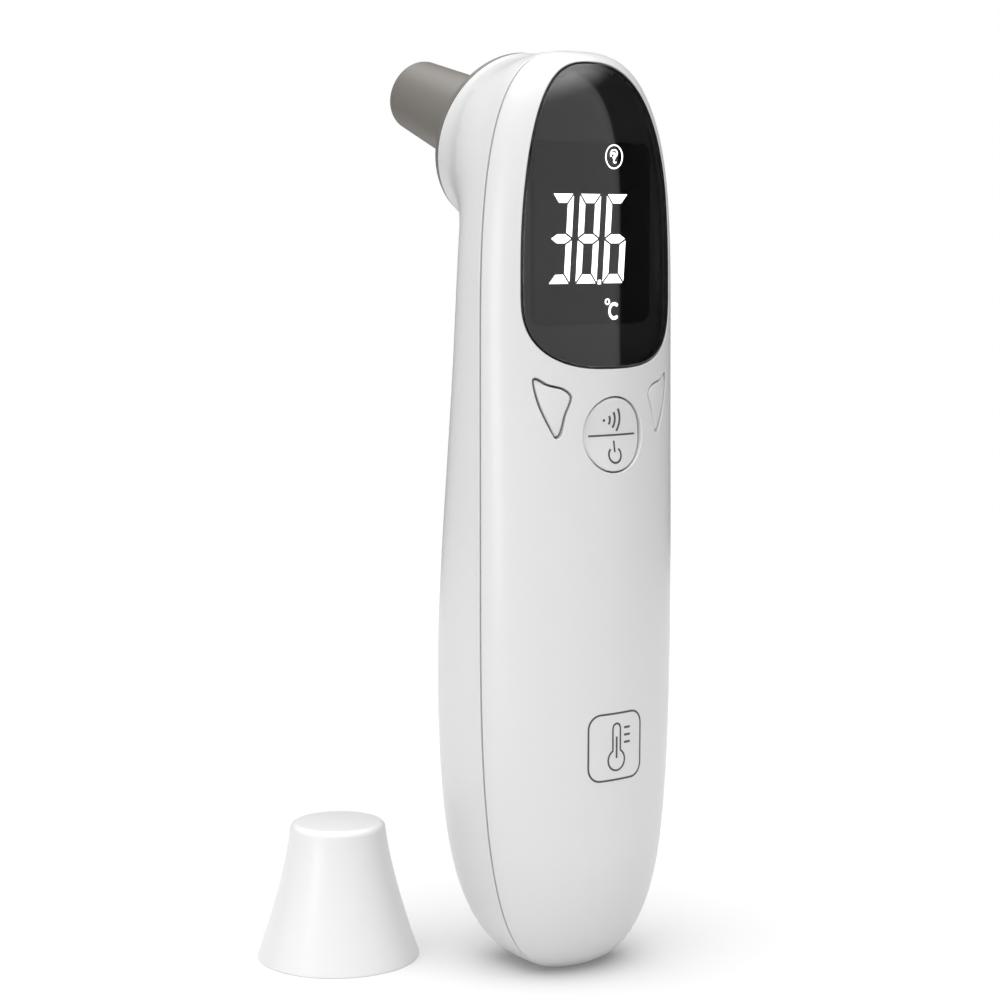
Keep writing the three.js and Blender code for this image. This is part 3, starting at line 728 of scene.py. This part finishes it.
lit = []
for place_in_row, segments in enumerate(READING):
    digit_corner = (DIGIT_START + place_in_row * DIGIT_PITCH, DIGIT_FOOT)
    lit += [drawn_in(SEGMENTS[segment], CUT) + digit_corner for segment in segments]
point = np.array([(0, 0), (0.6, 0), (0.6, 0.7), (0, 0.7)])
lit.append(point + (DIGIT_START + 2 * DIGIT_PITCH - 0.78, DIGIT_FOOT))
for outline in lit:
    outline[:, 0] += (outline[:, 1] - DIGIT_FOOT) * SLANT
lit += [band((3.0, 109.4), 0.4, 0, 180, 0.22), band((3.0, 109.4), 0.4, 180, 360, 0.22)]
lit.append(band((4.4, 107.9), 0.95, 48, 312, 0.42, tall=1.2))
plate("lit_reading", lit, MODULE_FACE - 0.06, MODULE_FACE + 0.05, lit_white, "body")

EAR = (4.2, 132.3)
ear = [band(EAR, 1.65, start, start + 90, 0.18, tall=1.1) for start in (0, 90, 180, 270)]
ear_rim = [(0.55, -0.95), (0.2, -1.15), (-0.05, -0.8), (0.15, -0.2), (0.7, 0.35), (0.7, 0.95),
           (0.25, 1.3), (-0.45, 1.2), (-0.8, 0.6), (-0.7, 0.0)]
ear_hollow = [(-0.35, 0.45), (-0.1, 0.8), (0.25, 0.6), (0.1, 0.15), (-0.2, -0.1), (0.0, -0.4)]
plate("lit_ear_ring", ear, MODULE_FACE - 0.06, MODULE_FACE + 0.05, lit_white, "body")


def flat_strokes(name, strokes, width, y, material, body):
    """Rounded strokes on a flat upright face"""
    outlines = []
    for stroke in strokes:
        line = np.asarray(stroke, float)
        t = np.linspace(0, len(line) - 1, 6 * len(line))
        line = np.column_stack([np.interp(t, range(len(line)), column) for column in line.T])
        for _ in range(3):
            line[1:-1] = (line[:-2] + 2 * line[1:-1] + line[2:]) / 4
        run = np.gradient(line, axis=0)
        run /= np.linalg.norm(run, axis=1)[:, None]
        over = np.column_stack([run[:, 1], -run[:, 0]]) * width / 2
        for k in range(len(line) - 1):
            outlines.append(np.array([line[k] + over[k], line[k + 1] + over[k + 1],
                                      line[k + 1] - over[k + 1], line[k] - over[k]]))
    return plate(name, outlines, y - 0.06, y + 0.05, material, body)


ear_lines = [np.array(line) * 0.85 + EAR for line in (ear_rim, ear_hollow)]
flat_strokes("lit_ear_sign", ear_lines, 0.2, MODULE_FACE, lit_white, "body")

# ---------------------------------------------------------------------------------------------
# Scan button
# The round button is a white ABS cap with a stop rim and a plunger that presses a dome on the
# board. Its face folds in to a shallow valley, printed with a line, a scan sign and a power sign.
# ---------------------------------------------------------------------------------------------

VALLEY = 0.8


def outside_button(points):
    """The button's face: two shallow slopes that meet in a valley across its middle"""
    from_line = np.sqrt((points[:, 2] - button_centre[1]) ** 2 + 0.15)
    share = np.clip(1 - from_line / button_radius, 0, 1)
    return outside_case(points) + VALLEY * share


button_white = moulded("white_button_abs", WHITE, 0.3)
button_line = on_face(circle_line(*button_centre, button_radius - GAP), FRONT, outside_button)
button = panel("scan_button_cap", [button_line], FRONT, button_white, "scan_button",
               field=outside_button, wall=2.6, edge=0.2, grid=0.5)
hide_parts("scan_button")
stem = softened([(0, -6.9), (6.9, -6.9), (6.9, -6.1), (1.6, -6.1), (1.6, -3.5), (0, -3.5)], 0.15)
lathe("scan_button_stem", stem, np.array([0, 0, button_centre[1]]), (0, 1, 0), button_white,
      "scan_button", 60)

sign_grey = moulded("printed_grey", (0.06, 0.06, 0.062), 0.45, mottle=0.15)
arc = np.radians(np.linspace(-34, 34, 14))
scan_sign = [[(-1.9 + r * math.cos(t), 90.9 + r * math.sin(t)) for t in arc] for r in (1.2, 2.2, 3.2)]
scan_sign.append([(-2.1, 90.9), (-1.65, 90.9)])
ink("scan_sign", scan_sign, 0.4, FRONT, outside_button, sign_grey, "scan_button")
ink("button_line", [[(-4.7, 88.5), (4.8, 88.5)]], 0.3, FRONT, outside_button, sign_grey, "scan_button")
power_turns = np.radians(np.linspace(130, 410, 40))
power_sign = [[(0.15 + 1.25 * math.cos(t), 85.35 + 1.25 * math.sin(t)) for t in power_turns],
              [(0.15, 87.6), (0.15, 85.8)]]
ink("power_sign", power_sign, 0.34, FRONT, outside_button, sign_grey, "scan_button")

# ---------------------------------------------------------------------------------------------
# Side keys
# The two keys are white ABS caps with soft pillowed faces, one the mirror of the other. Each
# rests on a stop rim behind the shell, over its own dome on the board.
# ---------------------------------------------------------------------------------------------

KEY_CENTRE = (10.6, 93.8)
PILLOW = 0.25


def outside_key(points):
    """A key's face stands a little proud in its middle and dips towards its edge"""
    from_centre = np.hypot(np.abs(points[:, 0]) - KEY_CENTRE[0], points[:, 2] - KEY_CENTRE[1])
    return outside_case(points) + PILLOW * np.clip(from_centre / 4, 0, 1.4) ** 2 - 0.05


def key_inside(outside, normals):
    """The key's sides run straight back to its stop rim"""
    return np.column_stack([outside[:, 0], np.full(len(outside), -4.1), outside[:, 2]])


for side, name in ((-1, "left"), (1, "right")):
    face = panel(f"{name}_key_cap", [on_face(key_line(side, -GAP), FRONT, outside_key)], FRONT,
                 button_white, f"{name}_key", field=outside_key, wall=key_inside, edge=0.4,
                 grid=0.5)
    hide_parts(f"{name}_key")
    rim = key_line(side, 0.5)
    plate(f"{name}_key_rim", [rim], -4.2, -3.5, button_white, f"{name}_key")

# ---------------------------------------------------------------------------------------------
# Printed sign on the grip
# One-colour pad print, low on the front of the handle: a plain thermometer sign in a round-
# cornered square.
# ---------------------------------------------------------------------------------------------

SIGN = np.array([0, 38.5])
ink("grip_sign_frame", [round_rectangle(SIGN - 5.4, SIGN + 5.4, 2.2)], 0.32, FRONT, outside_case,
    sign_grey, "body", closed=True)
bulb = np.radians(np.linspace(117, 423, 40))
tube = [(1.7 * math.cos(t), -2.2 + 1.7 * math.sin(t)) for t in bulb]
tube += [(0.78, 3.0), (0.55, 3.55), (0, 3.8), (-0.55, 3.55), (-0.78, 3.0)]
ink("grip_sign_tube", [np.array(tube) + SIGN], 0.32, FRONT, outside_case, sign_grey, "body",
    closed=True)
marks = [[(1.6, z), (2.9, z)] for z in (2.9, 1.7, 0.5)] + [[(0, -1.9), (0, 1.6)]]
ink("grip_sign_marks", [np.array(mark) + SIGN for mark in marks], 0.36, FRONT, outside_case, sign_grey,
    "body")

# ---------------------------------------------------------------------------------------------
# Probe
# The probe is a warm grey moulding: a spigot that plugs the barrel, a thin flange against the
# white rim, a flare and a slim tube. The sensor sits down its throat behind a dark window.
# ---------------------------------------------------------------------------------------------

PROBE_LENGTH = 28
SPIGOT_RADIUS, FLANGE_RADIUS, BORE = 11.6, 14.5, 3.7

probe_grey = moulded("warm_grey_satin", (0.155, 0.145, 0.132), 0.42, grain=0.000014, mottle=0.02)
flare = [(13.6 - 6.1 * math.sin(t), 8 - 6.5 * math.cos(t)) for t in np.radians(np.linspace(4, 90, 22))]
tip = [(5.2 + 0.9 * math.cos(t), PROBE_LENGTH - 0.9 + 0.9 * math.sin(t))
       for t in np.radians(np.linspace(0, 90, 9))]
profile = softened([(10.4, -3.6), (SPIGOT_RADIUS, -3.6), (SPIGOT_RADIUS, GAP), (FLANGE_RADIUS, GAP)], 0.2)
profile += softened([(FLANGE_RADIUS, GAP), (FLANGE_RADIUS, 1.1), (14, 1.42)], 0.4)[1:] + flare + tip
profile += softened([(BORE + 0.2, PROBE_LENGTH), (BORE, PROBE_LENGTH - 0.2), (BORE, 26), (3, 26),
                     (3, 25.2), (4.6, 25.2)], 0.12)
profile += [(5.4, 8), (10.4, 2), (10.4, -3.6)]
nozzle = lathe("probe_tube", profile, flange_centre, flange_axis, probe_grey, "body", 128)
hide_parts("probe_nozzle")

# ---------------------------------------------------------------------------------------------
# Probe cap
# The loose cap is a white polypropylene moulding, a flared bell with a flat closed top. It stands
# on its mouth beside the thermometer and pushes over the probe when not in use.
# ---------------------------------------------------------------------------------------------

CAP_HEIGHT, CAP_TOP, CAP_FLARE, CAP_WALL = 22.8, 7.9, 5.64, 1.2
CAP_AT = np.array([-28, 27.6, 0])


def cap_radius(height):
    return CAP_TOP + CAP_FLARE * (1 - height / CAP_HEIGHT) ** 1.4


cap_white = moulded("white_cap_polypropylene", (0.66, 0.66, 0.663), 0.3)
inside = [(cap_radius(z) - CAP_WALL, z) for z in np.linspace(CAP_HEIGHT - CAP_WALL, 0.3, 24)]
outside = [(cap_radius(z), z) for z in np.linspace(0.3, CAP_HEIGHT - 1.2, 24)]
shoulder = cap_radius(CAP_HEIGHT - 1.2) - 1.2
edge = [(shoulder + 1.2 * math.cos(t), CAP_HEIGHT - 1.2 + 1.2 * math.sin(t))
        for t in np.radians(np.linspace(10, 90, 8))]
rim = softened([inside[-1], (cap_radius(0) - CAP_WALL, 0), (cap_radius(0), 0), outside[0]], 0.3)
bell = [(0, CAP_HEIGHT - CAP_WALL)] + inside[:-1] + rim + outside[1:] + edge + [(0, CAP_HEIGHT)]
cap = lathe("cap_bell", bell, CAP_AT, (0, 0, 1), cap_white, "probe_cap", 128)
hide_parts("probe_cap")

# ---------------------------------------------------------------------------------------------
# Inside pieces
# The board, its parts, the battery bay and the sensor keep the shapes they are made in, and each
# kind gets its finish: solder mask, moulded black, nickel plate, gold, rubber, film and jacket.
# ---------------------------------------------------------------------------------------------


def finished(material, *names):
    for name in names:
        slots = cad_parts[name].data.materials
        slots.clear()
        slots.append(material)


bay_black = moulded("bay_black", (0.03, 0.03, 0.032), 0.55, grain=0.00002, mottle=0.12)
board_green = moulded("solder_mask_green", (0.02, 0.11, 0.05), 0.35, grain=0.00001, mottle=0.25)
gold = moulded("gold_plate", (0.83, 0.6, 0.22), 0.16, grain=0.000004, metal=1.0, mottle=0.04)
window_dark = moulded("sensor_window", (0.03, 0.026, 0.036), 0.08, grain=0.000002, mottle=0.2)
seal_rubber = moulded("seal_rubber", (0.02, 0.02, 0.02), 0.7, grain=0.00002, mottle=0.2)
film = moulded("amber_film", (0.45, 0.18, 0.03), 0.35, grain=0.000006, mottle=0.15)
jacket = moulded("cell_jacket", (0.05, 0.16, 0.36), 0.28, grain=0.000006, mottle=0.06, metal=0.4)
finished(bay_black, "battery_tray", "main_chip", "buzzer")
finished(board_green, "circuit_board", "sensor_board")
finished(steel, "scan_dome", "left_dome", "right_dome", "bridge_contact", "positive_contact",
         "negative_contact", "battery_spring_left", "battery_spring_right", "thermopile", "sensor_sleeve")
finished(gold, "waveguide")
finished(window_dark, "probe_window")
finished(seal_rubber, "probe_seal")
finished(film, "sensor_ribbon")
finished(jacket, "battery_left", "battery_right")

# ---------------------------------------------------------------------------------------------
# Studio
# A plain white table top that glows faintly, a wide bright wall on the viewer's side, a soft box
# overhead, a strip light at the left, and a camera a little above the middle of the handle.
# ---------------------------------------------------------------------------------------------

floor_mesh = bpy.data.meshes.new("floor")
TABLE_RADIUS = 0.5
floor_edge = [(TABLE_RADIUS * math.cos(t), TABLE_RADIUS * math.sin(t), foot)
              for t in np.radians(range(0, 360, 5))]
floor_mesh.from_pydata(floor_edge, [], [tuple(range(len(floor_edge)))])
table_white = moulded("table_white", (0.6, 0.6, 0.6), 0.6)
table_shader = table_white.node_tree.nodes["Principled BSDF"]
table_shader.inputs["Specular IOR Level"].default_value = 0.1
table_shader.inputs["Emission Color"].default_value = (1, 1, 1, 1)
table_shader.inputs["Emission Strength"].default_value = 0.1
floor_mesh.materials.append(table_white)
floor = bpy.data.objects.new("floor", floor_mesh)
bpy.context.scene.collection.objects.link(floor)

world = bpy.data.worlds.new("studio")
bpy.context.scene.world = world
world.use_nodes = True
tree = world.node_tree
tree.nodes.clear()
direction = tree.nodes.new("ShaderNodeTexCoord").outputs["Generated"]


def part_of_sky(normal, start, end, low, high):
    """A light level that changes with the direction looked in, from one side to the other"""
    facing = tree.nodes.new("ShaderNodeVectorMath")
    facing.operation = "DOT_PRODUCT"
    tree.links.new(direction, facing.inputs[0])
    facing.inputs[1].default_value = normal
    level = node(tree, "ShaderNodeMapRange", {"interpolation_type": "SMOOTHSTEP"},
                 Value=facing.outputs["Value"], From_Min=start, From_Max=end, To_Min=low, To_Max=high)
    return level.outputs["Result"]


wall_side = part_of_sky((-0.707, -0.707, 0.0), -0.03, 0.03, 0.03, 0.8)
overhead = part_of_sky((0.0, 0.0, 1.0), 0.62, 0.94, 0.0, 3.4)
strip = part_of_sky((-0.98, -0.17, 0.0), 0.95, 0.985, 0.0, 3.5)
sums = []
for level in (overhead, strip):
    add = tree.nodes.new("ShaderNodeMath")
    add.operation = "ADD"
    tree.links.new(sums[-1] if sums else wall_side, add.inputs[0])
    tree.links.new(level, add.inputs[1])
    sums.append(add.outputs["Value"])
lit_sky = node(tree, "ShaderNodeBackground", Color=(1, 1, 1, 1), Strength=sums[-1])
seen_sky = node(tree, "ShaderNodeBackground", Color=(1, 1, 1, 1), Strength=1.0)
ray = tree.nodes.new("ShaderNodeLightPath")
chosen = tree.nodes.new("ShaderNodeMixShader")
tree.links.new(ray.outputs["Is Camera Ray"], chosen.inputs[0])
tree.links.new(lit_sky.outputs[0], chosen.inputs[1])
tree.links.new(seen_sky.outputs[0], chosen.inputs[2])
output = tree.nodes.new("ShaderNodeOutputWorld")
tree.links.new(chosen.outputs[0], output.inputs["Surface"])

bpy.context.scene.view_settings.view_transform = "Standard"
camera = bpy.data.cameras.new("camera")
camera.lens, camera.sensor_width, camera.clip_start = 84.6, 36, 0.01
viewer = bpy.data.objects.new("camera", camera)
viewer.location = (-0.2399, -0.2936, foot + 0.12)
viewer.rotation_euler = (math.radians(83.566), 0, math.radians(-37.45))
bpy.context.scene.collection.objects.link(viewer)
bpy.context.scene.camera = viewer
